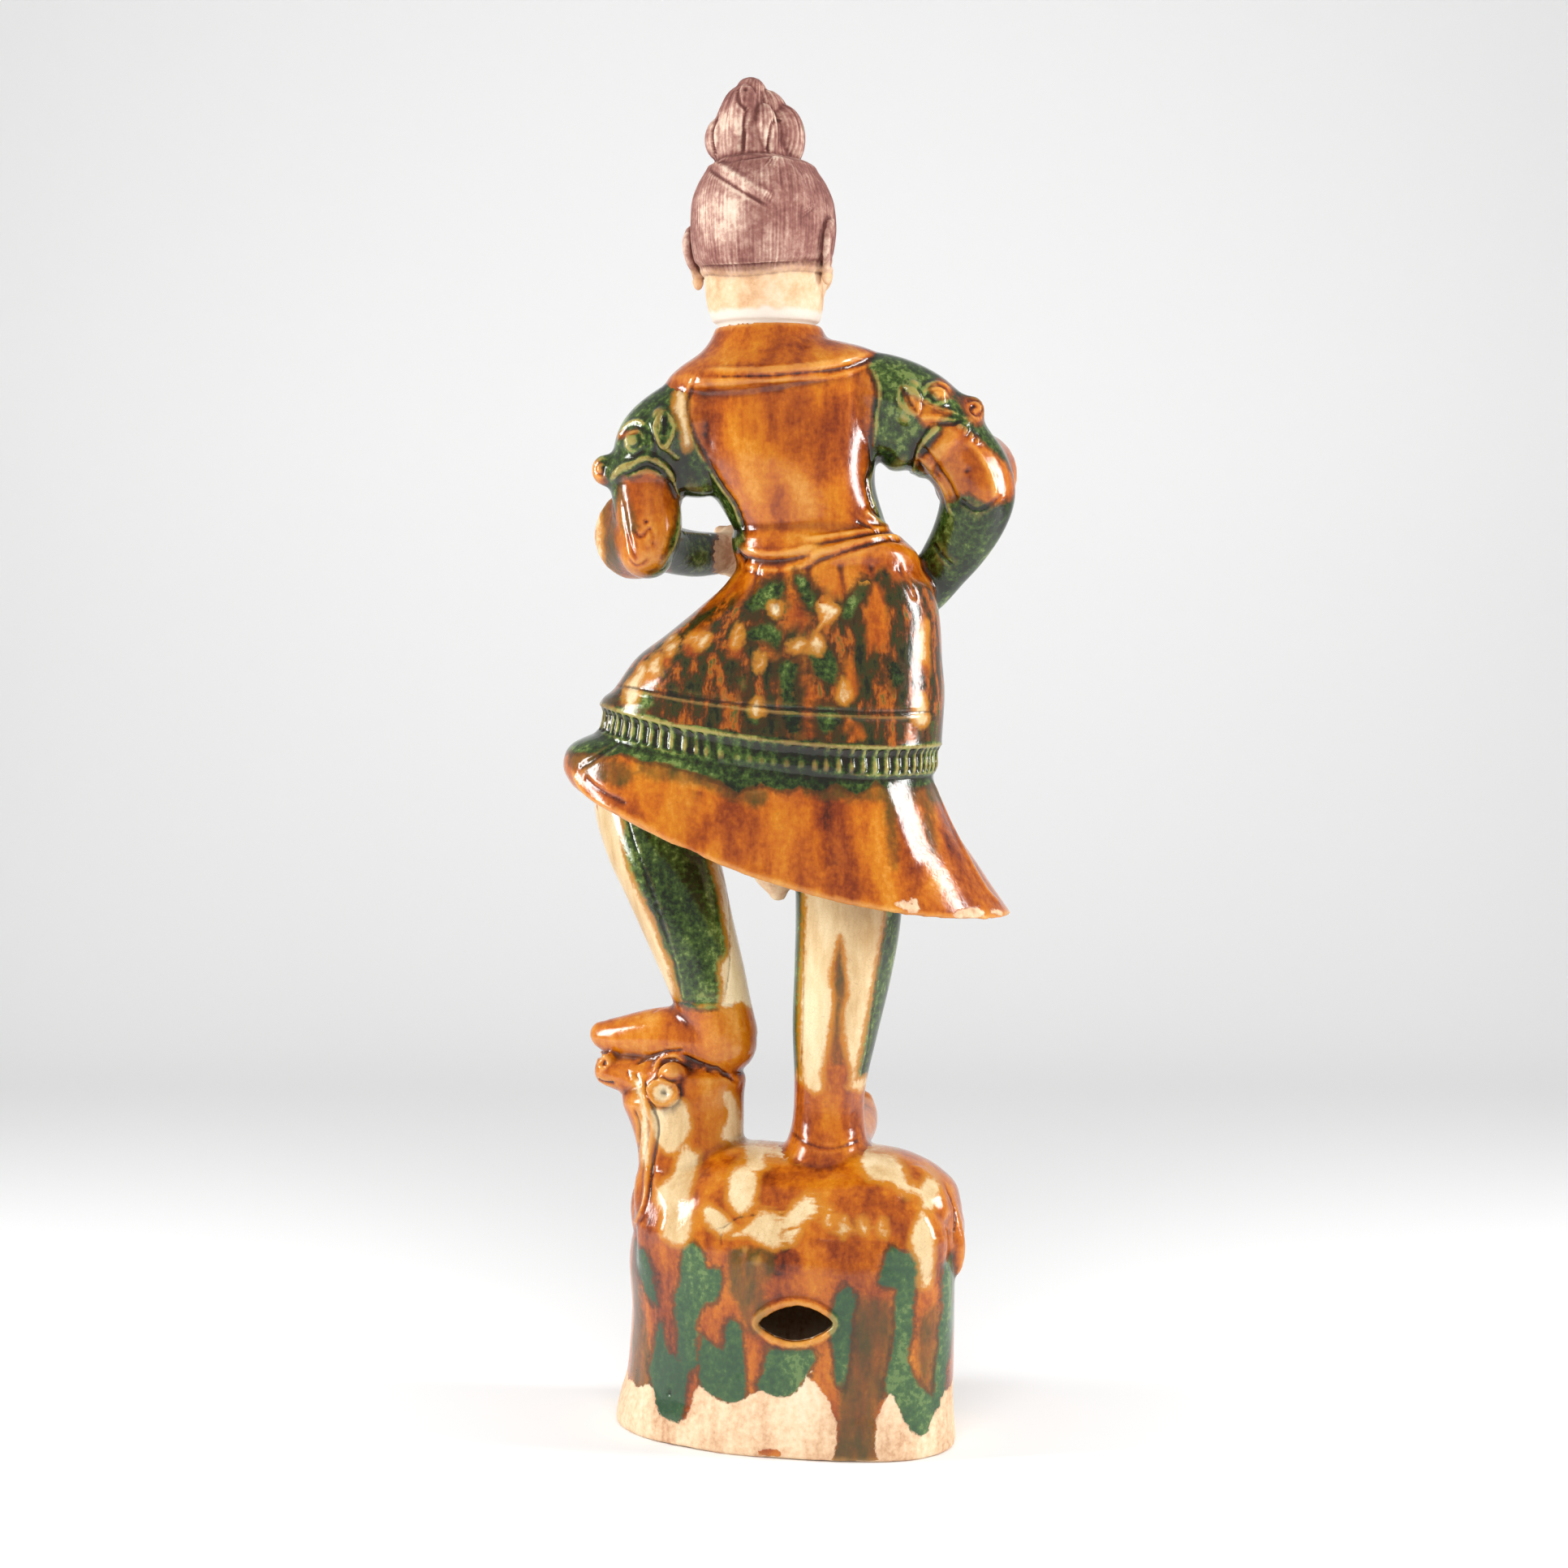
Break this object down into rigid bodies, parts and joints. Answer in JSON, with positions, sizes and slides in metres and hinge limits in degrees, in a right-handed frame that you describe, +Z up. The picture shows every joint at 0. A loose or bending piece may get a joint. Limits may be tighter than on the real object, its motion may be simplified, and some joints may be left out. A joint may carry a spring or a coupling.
{
  "type": "sancai warrior figure",
  "caption": "Sancai-glazed earthenware warrior standing on a lying bull over a hollow oval plinth, with an unglazed head set in the collar.",
  "frame": {"origin": "on the floor, under the middle of the whole figure's box", "axes": "+Z up, +Y the way the warrior's chest faces, +X the warrior's right hand side"},
  "size_m": [0.3364, 0.2026, 1],
  "materials": {
    "sancai_glaze": "amber, green and cream lead glaze run over buff earthenware, crazed",
    "bare_slip": "unglazed pinkish cream slip with worn purple brown pigment"
  },
  "bodies": {
    "root": {"warrior_on_bull": "sancai_glaze", "head": "bare_slip"}
  },
  "joints": []
}
